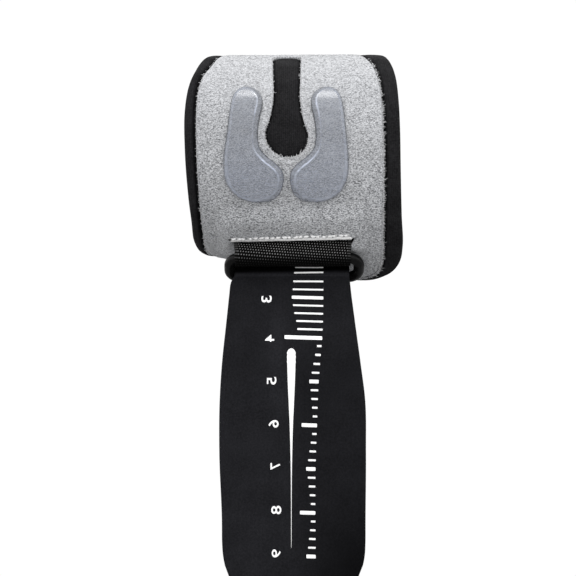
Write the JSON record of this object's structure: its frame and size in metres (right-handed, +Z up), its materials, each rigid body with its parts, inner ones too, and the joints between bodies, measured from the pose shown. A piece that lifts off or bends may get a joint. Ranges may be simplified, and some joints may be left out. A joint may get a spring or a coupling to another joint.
{
  "type": "wrist brace",
  "caption": "Wrap wrist brace: stretch band with a loop-pile face, keyhole cut-out and gel pads, closed by a printed pull strap doubled back through an oval ring.",
  "frame": {"origin": "middle of the wrist that the band goes round", "axes": "+X along the forearm from the hand to the elbow, +Z up toward the top of the wrist, -Y toward the show side with the ring"},
  "size_m": [0.0502, 0.0674, 0.1377],
  "materials": {
    "base_cloth": "matte stretch cloth",
    "loop_cloth": "short brushed loop pile",
    "gel": "glossy translucent gel",
    "webbing": "coarse woven webbing",
    "ring": "satin black",
    "strap_cloth": "smooth knit with a white printed scale",
    "hook": "moulded hook field"
  },
  "bodies": {
    "root": {"base_band": "base_cloth", "loop_panel": "loop_cloth", "gel_pad_left": "gel", "gel_pad_right": "gel", "webbing_tab": "webbing", "ring": "ring", "pull_strap": "strap_cloth", "hook_tab": "hook"}
  },
  "joints": []
}
